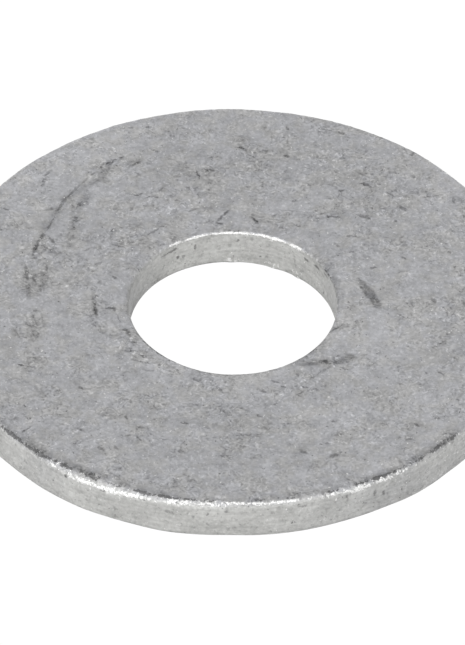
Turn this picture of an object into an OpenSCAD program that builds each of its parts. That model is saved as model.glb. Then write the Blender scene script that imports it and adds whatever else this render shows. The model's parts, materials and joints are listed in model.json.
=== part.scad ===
// Flat washer of the large series for an M12 bolt: one disc stamped from steel strip, deburred and
// hot-dip galvanised. It is a single piece of metal with no moving parts.
// Millimetres. The origin is the centre of the hole on the lower bearing face, and +Z runs up the hole.

/* [Disc] */
// Outside diameter of the washer
outer_d = 37; // [30:0.5:44]
// Diameter of the hole for the bolt
hole_d = 13; // [8:0.25:18]
// Thickness between the two bearing faces
thickness = 2.8; // [2:0.1:4]

/* [Edges] */
// Radius of both edges of the upper face, rolled over as the punch entered the strip
rolled_r = 0.5; // [0.2:0.05:0.9]
// Radius of both edges of the lower face, broken through by the punch and then tumbled
tumbled_r = 0.3; // [0.1:0.05:0.9]

/* [Preview] */
// Segments round a full turn
turn_segments = 180; // [60:12:360]

/* [Hidden] */
outer_r = outer_d / 2;
hole_r = hole_d / 2;
// Width of the ring of metal from the hole to the rim
ring_w = outer_r - hole_r;
// How far a corner cutter reaches past the section, so that the two share no side
overshoot = 0.2;
// Weathered zinc, a matt neutral grey
zinc_grey = [0.64, 0.64, 0.65];

// What a round edge of radius r takes off a square corner that points to +X and +Y.
// The arc's centre is at the origin.
module corner_waste(r) {
  difference() {
    square(r + overshoot);
    circle(r, $fn = turn_segments);
  }
}

// One side of the ring's section, from the middle of the metal out to a wall that faces +X.
// The wall stands on x = 0.
module half_section() {
  difference() {
    translate([-ring_w / 2, 0]) square([ring_w / 2, thickness]);
    translate([-rolled_r, thickness - rolled_r]) corner_waste(rolled_r);
    translate([-tumbled_r, tumbled_r]) mirror([0, 1]) corner_waste(tumbled_r);
  }
}

// The ring's whole section: the rim's wall faces out and the hole's wall faces in.
module ring_section() {
  translate([outer_r, 0]) half_section();
  translate([hole_r, 0]) mirror([1, 0]) half_section();
}

// The washer, turned about the axis of its hole.
module washer() {
  color(zinc_grey) rotate_extrude($fn = turn_segments) ring_section();
}

washer();
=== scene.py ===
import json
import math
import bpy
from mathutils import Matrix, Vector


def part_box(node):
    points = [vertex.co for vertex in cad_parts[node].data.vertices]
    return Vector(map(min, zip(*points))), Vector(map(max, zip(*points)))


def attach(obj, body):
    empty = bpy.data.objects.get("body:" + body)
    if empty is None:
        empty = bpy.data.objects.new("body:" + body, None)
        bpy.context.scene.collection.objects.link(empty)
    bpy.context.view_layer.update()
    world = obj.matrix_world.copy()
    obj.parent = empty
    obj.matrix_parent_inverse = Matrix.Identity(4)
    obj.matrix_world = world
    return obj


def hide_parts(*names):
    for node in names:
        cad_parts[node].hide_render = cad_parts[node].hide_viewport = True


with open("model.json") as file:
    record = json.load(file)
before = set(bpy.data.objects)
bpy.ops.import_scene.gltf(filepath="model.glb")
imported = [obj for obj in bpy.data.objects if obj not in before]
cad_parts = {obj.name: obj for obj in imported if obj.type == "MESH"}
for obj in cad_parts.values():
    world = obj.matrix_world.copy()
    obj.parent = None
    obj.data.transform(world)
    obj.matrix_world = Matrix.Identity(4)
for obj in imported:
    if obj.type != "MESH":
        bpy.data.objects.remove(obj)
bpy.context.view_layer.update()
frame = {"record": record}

# Looks of the flat washer: one stamped steel disc with a dull, scuffed coat of hot-dip zinc.
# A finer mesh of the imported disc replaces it. Its shape carries the rolled and crumbled edges, the
# slow waves of the coat and the deeper marks, and one procedural zinc material covers it.
# Lengths are in metres, and in millimetres where a name or a comment says so.
from types import SimpleNamespace

import bpy
import numpy as np
from mathutils import Quaternion, Vector, noise

MM = 0.001

# ---------------------------------------------------------------- sizes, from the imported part
low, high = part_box("washer")
THICKNESS = (high.z - low.z) / MM
OUTER_R = (high.x - low.x) / 2 / MM
HOLE_R = next(m["dims"]["r_mm"] for m in frame["record"]["mounts"] if m["name"] == "bolt_hole")

# ---------------------------------------------------------------- the wear, in millimetres
# Each mark on the upper face: start x, y, end x, y, width, and how dark it is
MARKS = [
    (-9.3, 11.5, -9.7, 10.9, 0.14, 0.7),
    (-9.8, 10.8, -10.6, 9.6, 0.14, 0.7),
    (-10.6, 9.6, -11.2, 8.3, 0.18, 0.6),
    (-11.3, 7.9, -11.8, 6.4, 0.12, 0.6),
    (-12.0, 6.1, -12.2, 5.7, 0.22, 0.9),
    (-12.3, 5.5, -12.7, 4.0, 0.20, 0.8),
    (-11.7, 5.9, -11.3, 5.2, 0.16, 0.8),
    (-11.8, 4.8, -12.1, 4.3, 0.16, 0.7),
    (-13.1, 3.3, -12.9, 1.7, 0.20, 0.8),
    (-12.9, 1.6, -12.8, 0.0, 0.26, 0.6),
    (-11.8, 3.3, -11.7, 2.5, 0.12, 0.7),
    (-12.0, 2.5, -11.9, 0.8, 0.26, 0.5),
    (-12.5, 2.3, -12.5, 1.3, 0.24, 0.5),
    (-12.2, 1.3, -12.0, 0.6, 0.16, 0.6),
    (-8.2, 12.6, -7.7, 13.1, 0.18, 0.6),
    (-7.7, 13.1, -7.0, 13.6, 0.12, 0.6),
    (-8.6, 12.4, -8.4, 12.6, 0.12, 0.9),
    (-9.1, 11.7, -8.9, 11.9, 0.12, 0.8),
    (-6.6, 12.6, -5.9, 13.1, 0.16, 1.0),
    (-5.2, 14.2, -4.8, 14.0, 0.12, 0.9),
    (-6.8, 16.3, -6.5, 16.3, 0.12, 0.8),
    (-5.7, 16.4, -5.4, 16.4, 0.14, 0.9),
    (-12.0, 11.4, -12.2, 10.6, 0.18, 0.8),
    (-11.6, 12.2, -12.0, 11.7, 0.18, 0.8),
    (-14.6, 8.5, -14.3, 8.3, 0.14, 1.0),
    (-6.3, 9.8, -5.8, 10.0, 0.14, 0.8),
    (-5.7, 9.6, -5.0, 9.8, 0.10, 0.7),
    (-4.8, 10.2, -4.5, 10.6, 0.12, 0.7),
    (-2.9, 8.3, -2.2, 8.7, 0.10, 0.8),
    (-1.1, 7.4, -0.4, 8.4, 0.14, 1.0),
    (-1.1, 7.4, -0.7, 7.2, 0.12, 0.9),
    (-2.4, 12.2, -2.2, 11.5, 0.12, 0.9),
    (-2.1, 12.4, -0.9, 12.2, 0.10, 0.6),
    (-3.1, 10.7, -2.9, 10.6, 0.14, 0.8),
    (-5.4, 6.1, -4.7, 6.8, 0.14, 0.9),
    (-4.7, 6.9, -4.2, 6.9, 0.08, 0.7),
    (-7.8, 6.3, -7.5, 6.7, 0.12, 0.7),
    (-9.5, 4.5, -9.0, 4.8, 0.10, 0.7),
    (-6.8, 5.3, -6.3, 5.4, 0.10, 0.7),
    (-7.6, 2.2, -7.4, 2.0, 0.18, 1.0),
    (-8.7, 3.2, -8.3, 3.5, 0.18, 0.7),
    (-8.8, 0.1, -8.5, 0.4, 0.22, 0.8),
    (0.0, 14.5, 0.4, 14.5, 0.08, 0.8),
    (0.4, 14.5, 0.8, 14.2, 0.18, 1.0),
    (3.3, 13.8, 3.4, 13.6, 0.18, 1.0),
    (3.3, 16.5, 3.5, 16.2, 0.14, 0.8),
    (6.7, 16.0, 7.2, 15.8, 0.10, 0.7),
    (6.8, 13.5, 7.0, 13.6, 0.18, 0.8),
    (7.6, 12.4, 8.6, 11.7, 0.10, 0.6),
    (8.1, 11.1, 8.5, 11.0, 0.18, 1.0),
    (8.5, 11.0, 8.8, 10.7, 0.10, 0.9),
    (6.5, 10.3, 7.1, 10.5, 0.10, 0.7),
    (9.7, 10.3, 10.2, 9.9, 0.10, 0.7),
    (5.7, 9.7, 6.5, 9.6, 0.10, 0.6),
    (3.7, 9.4, 3.9, 9.4, 0.14, 0.8),
    (8.3, 9.1, 9.0, 8.6, 0.10, 0.6),
    (10.5, 9.0, 10.9, 8.6, 0.20, 0.8),
    (11.9, 9.8, 13.6, 10.2, 0.08, 0.7),
    (13.9, 9.9, 14.0, 9.3, 0.14, 0.9),
    (5.8, 8.0, 6.7, 7.9, 0.14, 0.9),
    (7.9, 8.1, 8.6, 7.8, 0.18, 0.7),
    (10.2, 7.6, 10.3, 7.6, 0.14, 0.9),
    (1.2, 7.8, 1.5, 7.3, 0.16, 0.8),
    (2.7, 8.6, 4.3, 8.4, 0.08, 0.6),
    (3.8, 7.2, 4.2, 7.0, 0.12, 0.7),
    (7.1, 6.2, 7.8, 6.1, 0.12, 0.8),
    (6.3, 5.5, 6.7, 5.1, 0.12, 0.7),
    (10.6, 4.2, 10.9, 4.0, 0.14, 0.8),
    (13.5, 4.7, 13.7, 4.6, 0.14, 0.9),
    (8.6, 3.1, 9.0, 3.2, 0.12, 1.0),
    (7.9, 2.0, 8.2, 1.7, 0.28, 0.9),
    (8.0, 1.8, 8.4, 1.0, 0.38, 1.0),
    (8.3, 1.3, 8.7, 0.4, 0.55, 1.0),
    (8.7, 0.4, 9.1, -0.4, 0.44, 1.0),
    (6.0, -2.7, 6.8, -2.2, 0.14, 0.8),
    (5.9, -5.6, 7.1, -5.4, 0.40, 0.6),
    (5.2, -5.5, 5.9, -5.5, 0.22, 0.5),
    (7.1, -4.9, 7.5, -5.2, 0.39, 0.7),
    (6.6, -6.0, 7.2, -6.3, 0.10, 0.9),
    (5.3, -6.6, 6.1, -6.0, 0.12, 0.7),
    (4.2, -5.8, 5.3, -5.7, 0.24, 0.5),
    (4.0, -6.6, 4.1, -6.9, 0.18, 0.7),
    (4.4, -7.8, 4.6, -7.9, 0.18, 1.0),
    (4.8, -7.1, 5.1, -6.9, 0.12, 0.8),
    (3.9, -8.5, 4.4, -8.8, 0.12, 0.7),
    (5.0, -8.0, 5.4, -8.2, 0.12, 0.7),
    (2.4, -7.3, 2.9, -7.5, 0.14, 0.8),
    (3.0, -7.8, 3.3, -7.9, 0.14, 0.9),
    (1.6, -8.1, 2.1, -8.4, 0.16, 0.9),
    (1.5, -10.4, 1.8, -10.6, 0.16, 0.9),
    (0.5, -9.8, 1.0, -10.1, 0.12, 0.6),
    (6.3, -12.2, 6.8, -12.1, 0.12, 0.7),
    (6.2, -10.9, 6.3, -11.0, 0.14, 0.7),
    (5.8, -12.9, 6.0, -13.0, 0.16, 0.8),
    (4.2, -13.6, 4.7, -13.9, 0.20, 0.8),
    (6.0, -14.1, 6.5, -13.9, 0.24, 0.8),
    (11.3, -11.1, 11.5, -11.3, 0.14, 0.8),
    (12.5, -10.6, 12.8, -10.6, 0.12, 0.8),
    (12.7, -6.3, 13.1, -6.7, 0.12, 0.7),
    (10.3, -1.1, 10.8, -1.5, 0.08, 0.8),
    (12.4, 0.4, 12.7, -0.0, 0.16, 0.7),
    (12.9, -3.8, 13.0, -3.8, 0.12, 1.0),
    (-13.3, -6.0, -13.0, -6.1, 0.14, 1.0),
    (-7.9, -0.8, -7.5, -0.7, 0.18, 0.9),
    (-7.5, -0.7, -7.4, -1.0, 0.14, 0.9),
    (-7.3, -1.3, -7.0, -2.1, 0.08, 0.8),
    (-6.9, -2.7, -6.6, -2.8, 0.14, 0.8),
    (-6.6, -2.9, -6.4, -3.3, 0.18, 0.8),
    (-6.4, -3.9, -6.0, -3.9, 0.12, 0.9),
    (-7.0, -4.7, -5.8, -4.7, 0.08, 0.8),
    (-5.8, -5.0, -5.5, -5.3, 0.12, 1.0),
    (-6.3, -5.5, -5.1, -5.8, 0.10, 0.9),
    (-4.6, -5.9, -4.5, -6.0, 0.14, 0.9),
    (-3.5, -6.3, -3.3, -6.7, 0.12, 0.8),
    (-5.4, -6.5, -4.8, -6.5, 0.10, 0.7),
    (-8.7, -0.3, -8.5, -1.7, 0.18, 0.8),
    (-8.8, -2.2, -8.6, -2.5, 0.12, 0.8),
    (-9.5, -8.0, -9.3, -8.2, 0.14, 1.0),
    (-5.4, -8.7, -5.1, -8.9, 0.10, 0.7),
    (-6.6, -10.6, -6.5, -10.9, 0.14, 0.9),
    (-3.2, -11.2, -2.7, -11.3, 0.12, 0.9),
    (-6.6, -12.4, -6.2, -12.3, 0.12, 0.8),
    (-5.9, -12.4, -5.6, -12.8, 0.08, 0.8),
    (-5.0, -12.6, -3.9, -12.7, 0.08, 0.6),
    (-8.2, -13.4, -7.9, -13.7, 0.20, 0.8),
    (-7.2, -13.3, -7.0, -13.7, 0.14, 0.7),
    (-9.8, -13.1, -9.6, -13.1, 0.12, 0.7),
    (-13.0, -12.2, -12.4, -11.6, 0.10, 0.9),
    (-13.5, -11.0, -13.3, -10.8, 0.16, 0.8),
    (-11.5, -10.5, -10.4, -10.5, 0.08, 0.6),
    (-9.6, -11.7, -9.0, -12.1, 0.14, 0.5),
    (-13.8, -9.7, -13.4, -9.9, 0.08, 0.7),
    (-2.5, -7.2, -2.0, -7.4, 0.18, 0.6),
    (-1.0, -7.9, -0.6, -8.4, 0.18, 0.8),
    (-0.8, -9.9, -0.3, -10.3, 0.16, 0.6),
]
# Wider, softer patches, in the same order of numbers
SMEARS = [
    (-12.6, 4.3, -12.1, 5.9, 0.49, 0.9), (-12.1, 5.9, -11.5, 7.7, 0.49, 0.8),
    (-11.4, 7.9, -10.7, 9.2, 0.49, 0.8), (-10.7, 9.3, -9.5, 10.8, 0.55, 0.9),
    (-9.6, 10.4, -8.4, 11.4, 0.55, 1.1), (-8.4, 11.5, -7.9, 12.7, 0.67, 1.2),
    (-7.9, 13.0, -7.0, 13.5, 0.43, 1.0), (-6.8, 12.8, -6.0, 13.1, 0.49, 0.9),
    (-9.3, 9.9, -9.8, 8.5, 0.55, 1.0), (-9.8, 8.5, -10.1, 7.2, 0.61, 1.0),
    (-10.1, 7.2, -10.3, 5.5, 0.49, 0.8), (-11.3, 4.4, -10.8, 4.0, 0.55, 1.0),
    (-12.0, 5.5, -11.7, 4.5, 0.49, 0.5), (-12.9, 3.3, -12.9, 1.0, 0.49, 0.5),
    (-12.5, 2.7, -12.3, 0.6, 0.49, 0.3), (-11.9, 3.3, -11.8, 0.8, 0.49, 0.4),
    (-12.4, -2.0, -12.5, -3.8, 0.49, 0.8), (-13.6, -2.5, -13.4, -3.3, 0.49, 0.5),
    (-13.0, -5.9, -12.3, -6.8, 0.55, 0.3), (-8.7, 0.8, -8.7, -2.3, 0.31, 0.6),
    (-8.0, -0.7, -7.5, -0.8, 0.37, 0.6), (-6.7, -2.5, -6.4, -3.4, 0.31, 0.6),
    (-6.2, -3.8, -5.3, -5.4, 0.25, 0.4), (-6.4, 7.2, -5.7, 8.0, 0.43, 0.4),
    (-6.7, 10.1, -5.9, 9.7, 0.49, 0.4), (-4.6, 10.1, -4.3, 10.9, 0.37, 0.4),
    (-3.6, 12.4, -2.8, 12.0, 0.61, 0.4), (-2.4, 12.2, -2.1, 11.5, 0.37, 0.5),
    (-5.2, 6.9, -4.3, 7.1, 0.31, 0.4), (0.2, 14.6, 0.8, 14.2, 0.31, 0.2),
    (3.2, 13.9, 3.4, 13.5, 0.37, 0.6), (1.2, 8.0, 1.5, 7.3, 0.37, 0.2),
    (-0.9, 7.3, -0.4, 8.3, 0.31, 0.4), (5.9, 8.1, 6.9, 8.3, 0.49, 0.4), (7.8, 8.2, 8.6, 7.9, 0.43, 0.5),
    (10.6, 9.1, 10.9, 8.7, 0.43, 0.3), (8.1, 11.4, 8.6, 10.9, 0.43, 0.2),
    (8.2, 1.7, 9.1, -0.3, 0.37, 0.3), (10.3, -0.6, 10.3, -1.9, 0.43, 0.6),
    (12.5, 0.5, 12.7, 0.1, 0.43, 0.4), (13.4, 2.8, 13.4, 1.6, 0.43, 0.3),
    (13.7, 0.5, 13.8, -1.0, 0.37, 0.3), (6.1, -5.5, 7.4, -5.1, 0.49, 0.5),
    (4.0, -5.7, 6.0, -5.5, 0.55, 1.1), (6.0, -2.7, 6.8, -2.3, 0.37, 0.5),
    (8.3, -11.4, 8.8, -10.4, 0.55, 0.7), (4.5, -13.3, 3.9, -14.0, 0.49, 0.5),
    (6.1, -14.1, 6.5, -13.9, 0.43, 0.2), (0.7, -12.2, 1.4, -12.5, 0.43, 0.4),
    (-0.7, -9.7, -0.3, -10.4, 0.49, 0.3), (-3.0, -11.0, -2.8, -11.2, 0.37, 0.2),
    (-5.0, -9.6, -4.7, -9.9, 0.49, 0.4), (-2.5, -7.1, -1.8, -7.5, 0.43, 0.5),
    (-6.5, -12.3, -6.1, -12.5, 0.37, 0.4), (-8.2, -13.4, -7.9, -13.9, 0.37, 0.5),
    (6.9, -15.7, 7.3, -16.1, 0.43, 0.5), (5.8, -16.4, 6.2, -16.8, 0.37, 0.4),
    (11.2, -11.1, 11.7, -11.2, 0.49, 0.4), (9.4, -4.7, 9.7, -5.2, 0.49, 0.4),
]
# Where the upper face is a little lighter, or darker if under 0: x, y, half width, how much
PATCHES = [
    (-10.1, 14.3, 2.6, 0.7), (-13.6, 10.7, 2.0, 0.6), (-7.6, 16.2, 1.8, 0.5), (0.4, 17.3, 1.5, 0.4),
    (13.2, 10.7, 2.0, 0.6), (8.1, -3.1, 2.0, 0.6), (11.1, -2.2, 2.2, 0.5), (6.4, -11.3, 2.2, 0.4),
    (-8.6, 10.3, 1.2, 0.6), (-14.1, 3.1, 1.2, 0.4), (11.7, -9.0, 1.6, 0.4), (-4.1, -6.3, 1.2, 0.6),
    (1.1, -7.3, 1.2, 0.5), (1.1, 12.8, 4.0, -0.4), (-2.8, 12.4, 2.0, -0.3), (9.7, 10.0, 3.0, -0.5),
    (-6.5, 6.0, 2.5, -0.3), (-1.0, -12.3, 4.0, -0.4), (-10.0, -8.8, 3.0, -0.3), (13.6, -4.5, 2.5, -0.4),
    (-13.8, -4.3, 1.5, -0.3),
]
# Where the coat is rough, on the upper face: x, y, half width, how rough
ROUGH = [
    (-1.5, -7.9, 1.6, 1.0), (4.4, -7.6, 1.5, 1.0), (-12.2, 4.6, 1.6, 0.9), (-6.8, 5.4, 2.0, 1.0),
    (-12.4, 1.8, 1.8, 1.0), (9.5, 9.5, 2.6, 0.8), (-6.4, -4.6, 1.6, 0.9), (1.5, 12.0, 2.6, 0.8),
    (-3.0, 9.5, 2.4, 0.8), (-9.0, -12.0, 2.4, 0.6), (7.5, -12.0, 2.4, 0.7), (12.5, -1.0, 2.2, 0.8),
    (-13.5, -10.5, 2.0, 0.6), (14.0, 7.0, 2.0, 0.7), (0.5, -13.5, 2.0, 0.4), (6.5, -5.6, 1.3, 0.8),
    (-7.5, 13.0, 2.4, 0.6), (6.0, 13.0, 2.4, 0.7), (-9.5, 1.5, 2.0, 0.8), (-13.0, 11.0, 2.0, 0.6),
]
# Pits and scratches on the walls: azimuth, height, length, how tall, and how dark
RIM_PITS = [
    (-123.4, 2.25, 0.14, 0.16, 0.8), (-115.2, 2.30, 0.36, 0.12, 0.8), (-102, 1.85, 0.50, 0.16, 0.5),
    (-94.5, 1.95, 0.14, 0.14, 0.9), (-91, 2.20, 0.24, 0.12, 0.7), (-76.2, 2.25, 0.34, 0.12, 0.7),
    (-67.5, 2.15, 0.18, 0.28, 0.7), (-61.5, 1.75, 0.16, 0.34, 0.6), (-59.6, 1.45, 0.16, 0.26, 0.7),
    (-30, 1.40, 0.60, 0.12, 0.6), (25, 1.80, 0.20, 0.30, 0.7), (80, 1.20, 0.50, 0.14, 0.7),
    (130, 1.70, 0.30, 0.30, 0.6), (175, 1.40, 0.80, 0.10, 0.6),
]
HOLE_PITS = [
    (128, 2.18, 1.20, 0.10, 0.8), (124.5, 2.22, 0.30, 0.16, 0.9), (122.7, 1.45, 0.18, 0.16, 0.9),
    (112, 1.85, 0.16, 0.26, 0.9), (118.8, 1.33, 0.20, 0.16, 0.7), (87.6, 2.00, 0.14, 0.18, 1.0),
    (45, 2.12, 0.40, 0.14, 0.8), (36, 2.20, 0.50, 0.14, 0.8), (26, 2.35, 0.60, 0.12, 0.7),
    (-70, 1.50, 0.40, 0.12, 0.7),
]
# Burrs on the lower edge of the hole: azimuth, half width in degrees, how far each stands in
BURRS = [(91, 3, 0.07), (67, 4, 0.07), (52, 2.5, 0.07), (-110, 4, 0.06)]
BURR_HEIGHT, BURR_HALF_HEIGHT = 0.13, 0.09
# The punch drew the upper face down around the hole: how far, how much less at the left, and how far
# from the hole this fades
SAG, LESS_SAG, SAG_REACH = 0.13, 0.10, 0.55
# Relief of the coat: its slow swell, its lumps and its crumbs, and how much higher the crumbs are on
# the rolled rim and in a crease
SWELL, LUMPS, CRUMBS, ROLLED_CRUMBS, CREASE_CRUMBS = 0.010, 0.005, 0.002, 0.016, 0.012
# How far in the whole surface lies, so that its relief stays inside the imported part's box
INSET = 0.012
# Marks at least this wide are also pressed into the mesh, this deep
GOUGE_WIDTH, GOUGE_DEPTH = 0.3, 0.03
# Painted shade on a wall, or painted light if under 0: azimuth, half width in degrees, how much
RIM_SHADES = [
    (-54, 17, 0.45), (-130, 8, 0.3), (-115, 9, -0.2), (-5, 18, 0.4), (62, 22, 0.6), (150, 20, 0.5),
    (-160, 12, 0.3),
]
HOLE_SHADES = [(180, 45, 0.6), (90, 40, -0.35), (5, 30, 0.35), (-80, 40, 0.3)]
# Slow waves of the coat on the rim, strongest low down: azimuth, half width in degrees, bulge
RIM_WAVES = [
    (-138, 5, -0.04), (-121, 10, 0.10), (-103, 5, 0.07), (-90, 4, -0.08), (-67, 6, -0.08),
    (-59, 4, -0.06), (-52, 4, 0.05), (-43, 4, -0.05), (-10, 7, 0.06), (18, 9, -0.06), (52, 6, 0.05),
    (84, 8, -0.06), (121, 7, 0.06), (160, 8, -0.05),
]
# Rubbed edges, with painted highlights: azimuth, half width in degrees, how much, the place across the edge
# (0 to 1 around the bend from the face to the wall, and then on down the wall), and half width there
RUBS_AND_HIGHLIGHTS = {
    "upper_rim": [
        (-126.5, 1.2, 0.8, 0.66, 0.16), (-119, 4, 0.88, 0.74, 0.21), (-114, 4, 0.88, 0.74, 0.20),
        (-109, 5, 0.82, 0.67, 0.18), (-101, 4, 0.66, 0.54, 0.22), (-95, 4, 0.64, 0.44, 0.18),
        (-89.5, 3, 1.0, 0.35, 0.13), (-86, 2.5, 0.9, 0.38, 0.11), (-80, 6, 0.85, 0.44, 0.12),
        (-70, 3, 0.60, 0.55, 0.22), (-65, 3.2, 0.92, 0.68, 0.24), (-60, 2.5, 0.72, 0.66, 0.24),
        (-56, 2.5, 0.72, 0.64, 0.22), (-30, 9, 0.6, 0.50, 0.20), (5, 10, 0.7, 0.60, 0.22),
        (40, 10, 0.6, 0.50, 0.20), (75, 12, 0.6, 0.50, 0.20), (115, 10, 0.6, 0.60, 0.20),
        (150, 12, 0.7, 0.50, 0.22), (182, 8, 0.6, 0.50, 0.20),
    ],
    "upper_hole": [
        (124, 5, 1.1, 0.52, 0.18), (111, 10, 1.3, 0.56, 0.20), (90, 14, 1.3, 0.60, 0.24),
        (68, 9, 1.3, 0.60, 0.34), (53, 6, 1.3, 0.60, 0.38), (-60, 20, 0.5, 0.50, 0.20),
        # Painted glints on the hole's wall just above the burrs
        (91, 4, 1.0, 3.20, 0.14), (67, 5, 1.0, 3.20, 0.14), (52, 3.5, 1.1, 3.20, 0.14),
    ],
    "lower_hole": [
        # The first three are painted glints on the burrs
        (91, 4, 1.2, 1.00, 0.20), (67, 5, 1.2, 1.00, 0.20), (52, 3.5, 1.2, 1.00, 0.20),
        (-100, 12, 0.6, 0.60, 0.30),
    ],
}
# Where painted shade lies near a bend, in the same order of numbers
PAINTED_SHADE_EDGES = {
    "upper_rim": [
        (-134, 9, 1.4, 0.25, 0.34), (-122, 5, 1.3, 0.20, 0.30), (-113, 4, 0.3, 0.15, 0.25),
        (-103, 7, 0.9, 0.15, 0.22), (-94, 4, 0.5, 0.10, 0.20), (-86, 6, 0.4, 0.05, 0.15),
        (-76, 5, 0.6, 0.10, 0.20), (-70, 4, 0.9, 0.15, 0.28), (-61, 5, 1.3, 0.20, 0.32),
        (-52, 5, 1.2, 0.20, 0.30), (-44, 5, 1.4, 0.25, 0.34), (-25, 12, 0.6, 0.20, 0.25),
        (-155, 12, 0.7, 0.20, 0.25), (170, 12, 0.4, 0.20, 0.20),
    ],
    "upper_hole": [(18, 18, 0.9, 0.30, 0.50), (-50, 14, 0.9, 0.20, 0.40), (-100, 35, 0.4, 0.20, 0.30)],
}
# Where the coat is creased above a bend, dark with dirt and painted shade, in the same order of numbers
DIRT_AND_SHADE_CREASES = {
    "upper_rim": [
        (-138, 4, 1.2, 0.40, 0.17), (-131, 4, 1.2, 0.40, 0.15), (-124.5, 2.4, 1.1, 0.34, 0.14),
        (-118, 1.4, 1.0, 0.25, 0.20), (-113, 1.0, 0.6, 0.30, 0.10), (-107.5, 2.4, 1.1, 0.33, 0.11),
        (-103, 3.5, 1.0, 0.30, 0.10), (-98, 2.5, 0.9, 0.27, 0.08), (-94, 2, 0.6, 0.25, 0.08),
        (-84.5, 1.0, 0.9, 0.15, 0.12), (-78.5, 1.0, 0.7, 0.20, 0.08), (-70, 2, 0.7, 0.30, 0.12),
        (-64.3, 1.6, 1.0, 0.30, 0.13), (-60.2, 2.4, 1.1, 0.32, 0.15), (-56.5, 1.6, 1.0, 0.36, 0.13),
        (-51, 2.0, 0.9, 0.36, 0.12), (-46, 2.2, 1.0, 0.33, 0.18), (-42, 1.5, 1.0, 0.40, 0.15),
        (-25, 8, 0.7, 0.20, 0.10), (12, 9, 0.7, 0.15, 0.10), (-155, 6, 0.7, 0.25, 0.12),
        (-171, 5, 0.6, 0.25, 0.12),
    ],
    "upper_hole": [
        (24, 9, 0.7, 0.55, 0.16), (-45, 14, 0.8, 0.40, 0.35), (-80, 22, 0.8, 0.40, 0.30),
        (-130, 24, 0.75, 0.40, 0.30),
    ],
}


def noise_at(point, scale, octaves, seed):
    """Fractal noise of about -1 to 1 at a point in millimetres; scale is in waves a millimetre."""
    return noise.fractal(point * scale + Vector((seed, seed, seed)), 0.9, 2.0, octaves)


def near(azimuth, centre, width):
    """1 where the azimuth is at the centre, falling to 0 a width or two away, all in degrees."""
    away = (azimuth - centre + 180) % 360 - 180
    return np.exp(-((away / width) ** 2))


# ---------------------------------------------------------------- the mesh
# Steps around the disc, and along each stretch of its section
COLUMNS = 800
STEPS = {
    "upper_face": 46, "upper_rim": 14, "rim_wall": 9, "lower_rim": 7,
    "lower_face": 22, "lower_hole": 6, "hole_wall": 8, "upper_hole": 11,
}
# The number of each edge that carries wear, and the number that stands for none of them
ZONES = {"upper_rim": 0, "upper_hole": 1, "lower_hole": 2}
NO_ZONE = -1


def even_steps(stretch):
    """Even fractions from 0 up to just under 1, one for each step of the stretch."""
    return np.arange(STEPS[stretch]) / STEPS[stretch]


def face_steps(stretch):
    """Fractions from 0 up to just under 1, closer together near both ends."""
    even = even_steps(stretch)
    return even - 0.5 * np.sin(2 * np.pi * even) / (2 * np.pi)


def between(start, end, fraction):
    """The value that lies the fraction of the way from start to end."""
    return start + (end - start) * fraction


def edge_radii(azimuth):
    """The radius of each rounded edge, in each column."""
    turn = np.radians(azimuth)
    ripple = np.array([noise_at(Vector((math.cos(t), math.sin(t), 0)) * OUTER_R, 0.25, 3, 3) for t in turn])
    radii = {
        "upper_rim": 0.48 + 0.20 * near(azimuth, -114, 22) + 0.07 * ripple,
        "lower_rim": 0.30 + 0.05 * ripple,
        "upper_hole": 0.20 + 0.34 * near(azimuth, 170, 42) + 0.12 * near(azimuth, -90, 50),
        "lower_hole": 0.31 + 0.08 * near(azimuth, 140, 25) - 0.06 * near(azimuth, 60, 30),
    }
    return {edge: radius[:, None] for edge, radius in radii.items()}


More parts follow.
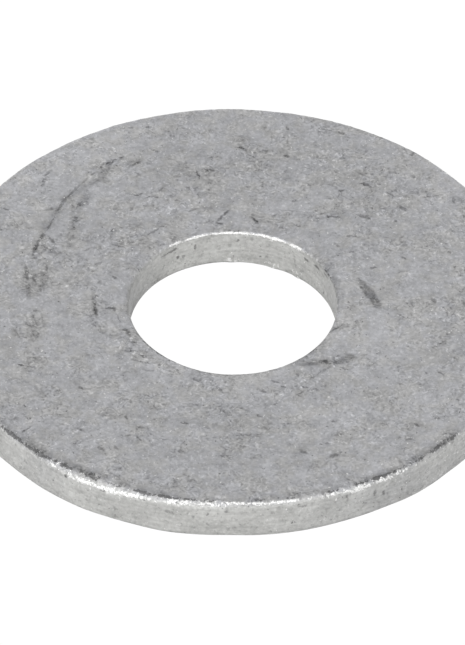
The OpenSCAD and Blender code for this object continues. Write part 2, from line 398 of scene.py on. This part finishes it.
def section(azimuth):
    """The closed section for every column, as arrays of columns by steps: radius, height, outward
    normal (radial, up), wall from 0 on a face to 1 on a wall, zone, the number of the nearest edge in
    ZONES, and across, the place on that edge: under 0 on the face in millimetres, 0 to 1 around the
    bend, and over 1 down the wall."""
    radii = edge_radii(azimuth)
    rim_top, rim_bottom = THICKNESS - radii["upper_rim"], radii["lower_rim"]
    hole_top, hole_bottom = THICKNESS - radii["upper_hole"], radii["lower_hole"]
    parts = []

    def stretch(radius, height, out, up, wall, zone=NO_ZONE, across=0.0):
        shape = np.broadcast_shapes(np.shape(radius), np.shape(height), (len(azimuth), 1))
        parts.append([np.broadcast_to(v, shape) for v in (radius, height, out, up, wall, zone, across)])

    def rounded(edge, side, top, around):
        """A quarter circle. side is 1 at the rim and -1 at the hole, top is 1 above and -1 below, and
        around is 0 at the face and 1 at the wall."""
        wall_radius, face_height = (OUTER_R if side > 0 else HOLE_R), (THICKNESS if top > 0 else 0.0)
        out, up = np.sin(around * np.pi / 2), np.cos(around * np.pi / 2)
        radius = wall_radius - side * radii[edge] * (1 - out)
        height = face_height - top * radii[edge] * (1 - up)
        stretch(radius, height, side * out, top * up, around, ZONES.get(edge, NO_ZONE), around)

    # Out along the upper face, down the rim, in along the lower face and up the hole
    start, end = HOLE_R + radii["upper_hole"], OUTER_R - radii["upper_rim"]
    radius = between(start, end, face_steps("upper_face"))
    to_hole, to_rim = start - radius, radius - end
    by_hole = to_hole > to_rim
    zone = np.where(by_hole, ZONES["upper_hole"], ZONES["upper_rim"])
    stretch(radius, THICKNESS, 0.0, 1.0, 0.0, zone, np.where(by_hole, to_hole, to_rim))
    rounded("upper_rim", 1, 1, even_steps("upper_rim"))
    height = between(rim_top, rim_bottom, even_steps("rim_wall"))
    stretch(OUTER_R, height, 1.0, 0.0, 1.0, ZONES["upper_rim"], 1 + rim_top - height)
    rounded("lower_rim", 1, -1, 1 - even_steps("lower_rim"))
    start, end = OUTER_R - radii["lower_rim"], HOLE_R + radii["lower_hole"]
    stretch(between(start, end, face_steps("lower_face")), 0.0, 0.0, -1.0, 0.0)
    rounded("lower_hole", -1, -1, even_steps("lower_hole"))
    height = between(hole_bottom, hole_top, even_steps("hole_wall"))
    stretch(HOLE_R, height, -1.0, 0.0, 1.0, ZONES["upper_hole"], 1 + hole_top - height)
    rounded("upper_hole", -1, 1, 1 - even_steps("upper_hole"))
    return [np.concatenate(rows, axis=1) for rows in zip(*parts)]


def worn_section(azimuth):
    """section with the waves of the rim, the burrs and the sag around the hole."""
    radius, height, out, up, wall, zone, across = section(azimuth)
    low_down = 1 - height / THICKNESS
    for centre, width, bulge in RIM_WAVES:
        wave = bulge * near(azimuth, centre, width)[:, None]
        radius = radius + wave * np.maximum(out, 0) * (0.3 + 0.9 * low_down)
    # The burrs are on the hole only
    at_burr = np.exp(-(((height - BURR_HEIGHT) / BURR_HALF_HEIGHT) ** 2)) * (radius < HOLE_R + 0.5)
    for centre, width, size in BURRS:
        radius = radius - size * near(azimuth, centre, width)[:, None] * at_burr
    sag = SAG - LESS_SAG * near(azimuth, 200, 45)[:, None]
    height = height - sag * np.exp(-(radius - HOLE_R) / SAG_REACH) * (height / THICKNESS) ** 2
    return radius, height, out, up, wall, zone, across


def pressed(marks, x, y):
    """How dark the darkest of the marks makes each point x, y."""
    mask = np.zeros_like(x)
    for x0, y0, x1, y1, width, dark in marks:
        length = math.hypot(x1 - x0, y1 - y0)
        ux, uy = (x1 - x0) / length, (y1 - y0) / length
        along = np.abs((x - (x0 + x1) / 2) * ux + (y - (y0 + y1) / 2) * uy) / (length / 2 + width / 2)
        across = ((y - y0) * ux - (x - x0) * uy) / (width / 2)
        mask = np.maximum(mask, dark * np.exp(-(across**2) - along**4))
    return mask


def edge_mask(edges, azimuth, zone, across):
    """For each column and step, the most that any entry of its own edge in edges gives."""
    mask = np.zeros_like(across)
    for edge, entries in edges.items():
        for centre, width, amount, place, spread in entries:
            around = np.exp(-(((across - place) / spread) ** 2))
            entry = amount * near(azimuth, centre, width)[:, None] * around
            mask = np.maximum(mask, (zone == ZONES[edge]) * entry)
    return mask


def bumps(entries, x, y):
    """For each entry, its amount at its centre, falling to 0 about twice its half width away."""
    return [
        amount * np.exp(-((x - centre_x) ** 2 + (y - centre_y) ** 2) / width**2)
        for centre_x, centre_y, width, amount in entries
    ]


def wall_shade(azimuth, radius):
    """How much painted shade, or painted light under 0, the wall has in each column, by RIM_SHADES or
    HOLE_SHADES.
    """
    rim = sum(amount * near(azimuth, centre, width) for centre, width, amount in RIM_SHADES)
    hole = sum(amount * near(azimuth, centre, width) for centre, width, amount in HOLE_SHADES)
    return np.where(radius > (HOLE_R + OUTER_R) / 2, rim[:, None], hole[:, None])


def coat_relief(place, upper, rolled, crease):
    """How far the coat stands out at each vertex, in millimetres."""
    relief = np.empty(len(place))
    crumbs = CRUMBS + ROLLED_CRUMBS * rolled + CREASE_CRUMBS * crease
    for i, point in enumerate(place):
        p = Vector(point)
        relief[i] = SWELL * noise_at(p, 0.22, 2, 11) + LUMPS * noise_at(p, 0.9, 2, 23)
        relief[i] += crumbs[i] * noise_at(p, 2.2, 2, 37)
    gouges = [mark for mark in MARKS if mark[4] >= GOUGE_WIDTH]
    return relief - INSET - GOUGE_DEPTH * upper * pressed(gouges, place[:, 0], place[:, 1])


def washer_mesh():
    """The worn disc as one closed mesh, with its masks as attributes."""
    azimuth = np.arange(COLUMNS) / COLUMNS * 360 - 180
    radius, height, out, up, wall, zone, across = worn_section(azimuth)
    cos, sin = np.cos(np.radians(azimuth))[:, None], np.sin(np.radians(azimuth))[:, None]
    x, y = radius * cos, radius * sin
    masks = {
        "wall": wall,
        "rub": edge_mask(RUBS_AND_HIGHLIGHTS, azimuth, zone, across),
        "crease": edge_mask(DIRT_AND_SHADE_CREASES, azimuth, zone, across),
        # Painted shade or light on the walls by azimuth, and painted shade near the bends
        "shade": wall * wall_shade(azimuth, radius) + edge_mask(PAINTED_SHADE_EDGES, azimuth, zone, across),
        "rough": np.maximum.reduce(bumps(ROUGH, x, y)),
        "patch": sum(bumps(PATCHES, x, y)),
        "smear": (up > 0.9) * pressed(SMEARS, x, y),
    }
    place = np.stack([x, y, height], -1).reshape(-1, 3)
    normal = np.stack([out * cos, out * sin, up], -1).reshape(-1, 3)
    rolled = 4 * wall * (1 - wall) * (zone == ZONES["upper_rim"])
    relief = coat_relief(place, normal[:, 2] > 0.9, rolled.ravel(), masks["crease"].ravel())
    place += normal * relief[:, None]

    steps = radius.shape[1]
    column = np.arange(COLUMNS)[:, None] * steps
    following = (np.arange(COLUMNS)[:, None] + 1) % COLUMNS * steps
    step, after = np.arange(steps)[None], (np.arange(steps)[None] + 1) % steps
    quads = np.stack([column + step, column + after, following + after, following + step], -1)
    mesh = bpy.data.meshes.new("washer_disc")
    mesh.from_pydata((place * MM).tolist(), [], quads.reshape(-1, 4).tolist())
    for name, mask in masks.items():
        values = mask.ravel().astype(np.float32)
        mesh.attributes.new(name, "FLOAT", "POINT").data.foreach_set("value", values)
    mesh.shade_smooth()
    mesh.update()
    return mesh


# ---------------------------------------------------------------- the material
class Nodes:
    """Short names for shader nodes, where any value is a number or a socket."""

    def __init__(self, tree):
        self.tree = tree

    def add(self, kind, *values, **settings):
        node = self.tree.nodes.new(kind)
        for name, value in settings.items():
            setattr(node, name, value)
        for socket, value in zip(node.inputs, values):
            self.put(socket, value)
        return node

    def put(self, socket, value):
        if isinstance(value, bpy.types.NodeSocket):
            self.tree.links.new(value, socket)
        else:
            socket.default_value = value

    def math(self, operation, *values, clamp=False):
        return self.add("ShaderNodeMath", *values, operation=operation, use_clamp=clamp).outputs[0]

    def vector(self, operation, *values):
        return self.add("ShaderNodeVectorMath", *values, operation=operation)

    def times(self, *values):
        result = values[0]
        for value in values[1:]:
            result = self.math("MULTIPLY", result, value)
        return result

    def total(self, *values):
        result = values[0]
        for value in values[1:]:
            result = self.math("ADD", result, value)
        return result

    def swing(self, value, amount):
        """A value of 0 to 1 as a change of up to half the amount, up or down."""
        return self.times(self.math("SUBTRACT", value, 0.5), amount)

    def shifted(self, vector, seed):
        return self.vector("ADD", vector, (seed, seed, seed)).outputs[0]

    def stretched(self, vector, x, y, z):
        return self.vector("MULTIPLY", vector, (x, y, z)).outputs[0]

    def noise(self, vector, scale, detail, roughness, seed, output="Fac"):
        node = self.add("ShaderNodeTexNoise")
        self.put(node.inputs["Vector"], self.shifted(vector, seed))
        for name, value in (("Scale", scale), ("Detail", detail), ("Roughness", roughness)):
            node.inputs[name].default_value = value
        return node.outputs[output]

    def warped(self, vector, scale, amount, seed):
        """The vector moved about by noise, by up to half the amount."""
        push = self.vector("SUBTRACT", self.noise(vector, scale, 2, 0.6, seed, "Color"), (0.5, 0.5, 0.5))
        return self.vector("MULTIPLY_ADD", push.outputs[0], (amount, amount, amount), vector).outputs[0]

    def remap(self, value, start, end, to_start=0.0, to_end=1.0):
        """A smooth step from to_start, where the value is at start, to to_end, where it is at end."""
        node = self.add("ShaderNodeMapRange", interpolation_type="SMOOTHSTEP")
        inputs = {"Value": value, "From Min": start, "From Max": end, "To Min": to_start, "To Max": to_end}
        for name, setting in inputs.items():
            self.put(node.inputs[name], setting)
        return node.outputs["Result"]

    def mix(self, factor, first, second):
        """The colour first where factor is 0 and second where it is 1."""
        node = self.add("ShaderNodeMix", data_type="RGBA")
        for index, value in ((0, factor), (6, first), (7, second)):
            self.put(node.inputs[index], value)
        return node.outputs[2]

    def scaled(self, colour, amount):
        node = self.vector("SCALE", colour)
        self.put(node.inputs["Scale"], amount)
        return node.outputs[0]

    def attribute(self, name):
        return self.add("ShaderNodeAttribute", attribute_name=name).outputs["Fac"]


def spots_mask(n, place, spots):
    """How much each point belongs to any of the soft ellipses in spots: centre, turn about the
    vertical, half sizes and strength."""
    result = 0.0
    for centre, turn, half, dark in spots:
        spot = n.add("ShaderNodeMapping", place, vector_type="TEXTURE")
        spot.inputs["Location"].default_value = centre
        spot.inputs["Rotation"].default_value = (0, 0, turn)
        spot.inputs["Scale"].default_value = half
        inside = n.add("ShaderNodeTexGradient", spot.outputs[0], gradient_type="SPHERICAL").outputs["Fac"]
        result = n.math("MAXIMUM", result, n.remap(inside, 0.0, 0.55, 0.0, dark))
    return result


def mark_spots():
    """A flat spot for each of MARKS. Its ends and sides fade, so it is drawn a little oversize."""
    for x0, y0, x1, y1, width, dark in MARKS:
        length = math.hypot(x1 - x0, y1 - y0)
        centre = ((x0 + x1) / 2, (y0 + y1) / 2, 0)
        yield centre, math.atan2(y1 - y0, x1 - x0), ((length + width) * 0.62, width * 0.90, 1), dark


def pit_spots():
    """A spot for each pit of the two walls, which reaches half a millimetre into the wall."""
    for pits, radius in ((RIM_PITS, OUTER_R), (HOLE_PITS, HOLE_R)):
        for azimuth, z, length, tall, dark in pits:
            turn = math.radians(azimuth)
            centre = (radius * math.cos(turn), radius * math.sin(turn), z)
            yield centre, turn + math.pi / 2, (length * 0.80, 0.5, tall * 1.05), dark


def arcs_around(n, place):
    """Faint arcs that run around the hole."""
    flat = n.stretched(place, 1, 1, 0)
    around = n.vector("SCALE", n.vector("NORMALIZE", flat).outputs[0])
    around.inputs["Scale"].default_value = 4.0
    reach = n.add("ShaderNodeCombineXYZ", 0.0, 0.0, n.times(n.vector("LENGTH", flat).outputs["Value"], 1.5))
    return n.noise(n.vector("ADD", around.outputs[0], reach.outputs[0]).outputs[0], 1.0, 3, 0.6, seed=46)


def coat_patterns(n, place, height):
    """The noises of the coat and its marks, as sockets of about 0 to 1."""
    worn = n.warped(place, 2.4, 0.30, 5)
    clouds = n.noise(place, 0.45, 3, 0.6, seed=4)
    mottle = n.noise(worn, 1.1, 4, 0.72, seed=9)
    grain = n.noise(place, 4.5, 2, 0.6, seed=17)
    tint = n.noise(place, 0.9, 2, 0.6, seed=31)
    arcs = arcs_around(n, place)

    # Where the coat is rough, short curled lines and specks crowd together
    crowd = n.remap(n.noise(place, 0.55, 2, 0.5, seed=63), 0.40, 0.64, 0.15, 0.9)
    ridge = n.math("ABSOLUTE", n.math("SUBTRACT", n.noise(worn, 1.7, 2, 0.6, seed=51), 0.5))
    curls = n.times(n.remap(ridge, 0.045, 0.012), n.remap(n.noise(worn, 2.0, 1, 0.5, seed=70), 0.48, 0.60))
    specks = n.remap(n.noise(worn, 2.9, 2, 0.6, seed=77), 0.56, 0.70)
    glints = n.remap(n.noise(worn, 3.4, 2, 0.6, seed=93), 0.58, 0.70)

    upper = n.remap(height, 1.4, 1.8)
    rough_coat = n.times(n.attribute("rough"), upper)
    crowd = n.math("MAXIMUM", crowd, rough_coat)
    swirls = n.times(n.math("SINE", n.times(n.noise(worn, 1.4, 1, 0.5, seed=88), 34.0)), crowd)
    pushed = n.warped(place, 5.0, 0.30, 44)
    marks = n.times(spots_mask(n, n.stretched(pushed, 1, 1, 0), mark_spots()), upper)
    marks = n.times(marks, n.remap(grain, 0.32, 0.56, 0.50, 1.0))
    pits = spots_mask(n, pushed, pit_spots())
    return SimpleNamespace(
        worn=worn, clouds=clouds, mottle=mottle, grain=grain, tint=tint, arcs=arcs, crowd=crowd,
        curls=curls, specks=specks, glints=glints, upper=upper, rough_coat=rough_coat, swirls=swirls,
        marks=marks, pits=pits,
    )


def face_tone(n, coat, shade):
    """How light the faces are, about 1, with painted shade near the bends."""
    return n.total(
        1.02, n.swing(coat.clouds, 0.20), n.swing(coat.arcs, 0.30), n.swing(coat.mottle, 0.84),
        n.swing(coat.grain, 0.50), n.times(coat.swirls, 0.14), n.times(coat.curls, coat.crowd, -0.24),
        n.times(coat.specks, coat.crowd, -0.30),
        n.times(coat.glints, n.remap(coat.rough_coat, 0.2, 0.8, 0.24, 0.44)),
        n.times(coat.marks, -0.54), n.times(coat.pits, -0.60), n.times(shade, -0.26),
        n.times(n.attribute("smear"), n.remap(coat.mottle, 0.35, 0.60, -0.40, -0.27)),
        n.times(n.attribute("patch"), coat.upper, 0.14),
    )


def wall_tone(n, coat, shade, place, height):
    """How light the walls are, about 1, with painted shade or light by azimuth. They are streaked level,
    and darker along the bottom as painted shade.
    """
    streaks = n.noise(n.stretched(place, 0.5, 0.5, 4.0), 1.0, 3, 0.6, seed=24)
    return n.total(
        1.0, n.swing(coat.clouds, 0.58), n.swing(streaks, 0.60), n.swing(coat.grain, 0.58),
        n.times(coat.specks, -0.20), n.times(shade, -0.18), n.times(shade, n.swing(coat.mottle, 1.0)),
        n.times(coat.pits, -0.60),
        n.times(n.remap(height, 0.40, 0.10), n.remap(coat.clouds, 0.42, 0.55), -0.30),
    )


COOL_ZINC, WARM_ZINC = (0.458, 0.461, 0.478, 1), (0.463, 0.461, 0.462, 1)
# The rubbed colour is partly a painted highlight, and the crease colour is partly painted shade
WALL_ZINC, RUB_AND_HIGHLIGHT_ZINC, CREASE_DIRT_AND_SHADE = (0.512, 0.512, 0.500), (0.84, 0.84, 0.83, 1), (0.10, 0.10, 0.10, 1)


def zinc_material():
    """Weathered hot-dip zinc: cool mottled grey faces, smoother and warmer walls, rubbed edges with painted
    highlights, and painted shade in the creases, near the bends and on the walls.
    """
    material = bpy.data.materials.new("galvanised_steel")
    material.use_nodes = True
    tree = material.node_tree
    surface = tree.nodes["Principled BSDF"]
    n = Nodes(tree)
    place = n.vector("SCALE", tree.nodes.new("ShaderNodeTexCoord").outputs["Object"])
    place.inputs["Scale"].default_value = 1 / MM
    place = place.outputs[0]
    wall, rub, crease, shade = (n.attribute(name) for name in ("wall", "rub", "crease", "shade"))
    height = n.add("ShaderNodeSeparateXYZ", place).outputs["Z"]
    coat = coat_patterns(n, place, height)
    on_faces = face_tone(n, coat, shade)
    on_walls = wall_tone(n, coat, shade, place, height)

    # The rubbed bands with their painted highlights crumble at their edges, and so do the creases with
    # their dirt and painted shade
    crumbs = n.noise(coat.worn, 4.2, 3, 0.75, seed=12)
    rub_and_highlight_band = n.remap(n.total(rub, n.swing(crumbs, 3.4)), 0.51, 0.63)
    crease = n.remap(n.total(crease, n.swing(crumbs, -3.2)), 0.44, 0.62)

    warmth = n.remap(n.total(coat.tint, n.times(coat.crowd, 0.10)), 0.44, 0.68)
    face_colour = n.scaled(n.mix(warmth, COOL_ZINC, WARM_ZINC), on_faces)
    wall_colour = n.scaled(WALL_ZINC, on_walls)
    # Painted shade also turns the wall towards the face colour
    unshaded = n.math("SUBTRACT", 1.0, n.times(shade, 0.8), clamp=True)
    colour = n.mix(n.times(n.remap(wall, 0.3, 0.8), unshaded), face_colour, wall_colour)
    # Dirt and painted shade in the creases
    colour = n.mix(n.times(crease, 0.78), colour, CREASE_DIRT_AND_SHADE)
    # Rubbed zinc with a painted highlight on the bands
    colour = n.mix(n.times(rub_and_highlight_band, 0.9), colour, RUB_AND_HIGHLIGHT_ZINC)
    n.put(surface.inputs["Base Color"], colour)
    surface.inputs["Metallic"].default_value = 0.9

    rough = n.total(0.50, n.swing(coat.mottle, 0.20), n.times(wall, -0.10), n.times(rub_and_highlight_band, -0.15))
    n.put(surface.inputs["Roughness"], rough)

    # The crumbs stand out only around the bends, where wall is neither 0 nor 1
    relief = n.total(
        n.swing(coat.mottle, 0.050), n.swing(coat.grain, 0.020), n.times(coat.specks, -0.010),
        n.times(coat.swirls, 0.004),
        n.times(n.swing(crumbs, 0.10), wall, n.math("SUBTRACT", 1.0, wall), 4.0),
    )
    bump = n.add("ShaderNodeBump")
    bump.inputs["Distance"].default_value = MM
    bump.inputs["Strength"].default_value = 1.0
    n.put(bump.inputs["Height"], relief)
    n.put(surface.inputs["Normal"], bump.outputs["Normal"])
    return material


disc = bpy.data.objects.new("washer_disc", washer_mesh())
bpy.context.scene.collection.objects.link(disc)
disc.data.materials.append(zinc_material())
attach(disc, "root")
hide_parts("washer")


# ---------------------------------------------------------------- the floor, the light and the camera
# How bright the table and the room are to the camera: pure white, with a little to spare
WHITE = 1.02
# Half the width of the table, and how far it lies under the lower face
TABLE_HALF, TABLE_GAP = 3.0, 0.00002


def floor():
    """A pale table top, much larger than the washer."""
    mesh = bpy.data.meshes.new("table")
    half = TABLE_HALF
    corners = [(-half, -half, 0), (half, -half, 0), (half, half, 0), (-half, half, 0)]
    mesh.from_pydata(corners, [], [(0, 1, 2, 3)])
    table = bpy.data.objects.new("table", mesh)
    bpy.context.scene.collection.objects.link(table)
    table.location.z = low.z - TABLE_GAP
    material = bpy.data.materials.new("pale_table")
    material.use_nodes = True
    surface = material.node_tree.nodes["Principled BSDF"]
    surface.inputs["Roughness"].default_value = 0.9
    surface.inputs["Specular IOR Level"].default_value = 0.0
    surface.inputs["Emission Color"].default_value = (1, 1, 1, 1)
    # The camera sees a pure white table. The washer still reflects its real shading.
    n = Nodes(material.node_tree)
    seen = material.node_tree.nodes.new("ShaderNodeLightPath").outputs["Is Camera Ray"]
    n.put(surface.inputs["Base Color"], n.mix(seen, (0.92, 0.92, 0.92, 1), (0, 0, 0, 1)))
    n.put(surface.inputs["Emission Strength"], n.times(seen, WHITE))
    mesh.materials.append(material)


def softbox(name, azimuth, elevation, distance, size, power):
    """A square area light that points at the washer. Azimuth 0 is in front, and 90 is to its right."""
    a, e = math.radians(azimuth), math.radians(elevation)
    back = Vector((math.sin(a) * math.cos(e), -math.cos(a) * math.cos(e), math.sin(e)))
    light = bpy.data.lights.new(name, "AREA")
    light.size, light.energy = size, power
    lamp = bpy.data.objects.new(name, light)
    lamp.location = back * distance
    lamp.rotation_mode = "QUATERNION"
    lamp.rotation_quaternion = back.to_track_quat("Z", "Y")
    bpy.context.scene.collection.objects.link(lamp)


def studio():
    """A pale room with a dimmer ceiling, pure white where the camera sees it, and two softboxes."""
    world = bpy.data.worlds.new("studio")
    bpy.context.scene.world = world
    world.use_nodes = True
    n = Nodes(world.node_tree)
    sky = world.node_tree.nodes["Background"]
    direction = world.node_tree.nodes.new("ShaderNodeTexCoord").outputs["Generated"]
    up = n.add("ShaderNodeSeparateXYZ", direction).outputs["Z"]
    room = n.remap(up, 0.65, 1.0, 0.90, 0.50)
    seen = world.node_tree.nodes.new("ShaderNodeLightPath").outputs["Is Camera Ray"]
    n.put(sky.inputs["Strength"], n.math("MAXIMUM", room, n.times(seen, WHITE)))
    sky.inputs["Color"].default_value = (1, 1, 1, 1)
    softbox("key_softbox", azimuth=-42, elevation=38, distance=0.6, size=0.45, power=1.5)
    softbox("fill_softbox", azimuth=38, elevation=42, distance=0.6, size=0.30, power=0.6)


def camera():
    """A long lens from in front and above, turned to look just behind the hole's centre."""
    data = bpy.data.cameras.new("camera")
    data.sensor_width = 36
    data.lens = 480
    data.clip_start, data.clip_end = 0.01, 50
    eye = bpy.data.objects.new("camera", data)
    bpy.context.scene.collection.objects.link(eye)
    elevation, roll, distance = math.radians(42.66), math.radians(0.44), 0.5416
    aim = Vector((-0.00003, 0.00101, 0))
    back = Vector((0, -math.cos(elevation), math.sin(elevation)))
    eye.location = aim + back * distance
    eye.rotation_mode = "QUATERNION"
    eye.rotation_quaternion = back.to_track_quat("Z", "Y") @ Quaternion((0, 0, 1), roll)
    bpy.context.scene.camera = eye


floor()
studio()
camera()
bpy.context.scene.view_settings.view_transform = "Standard"
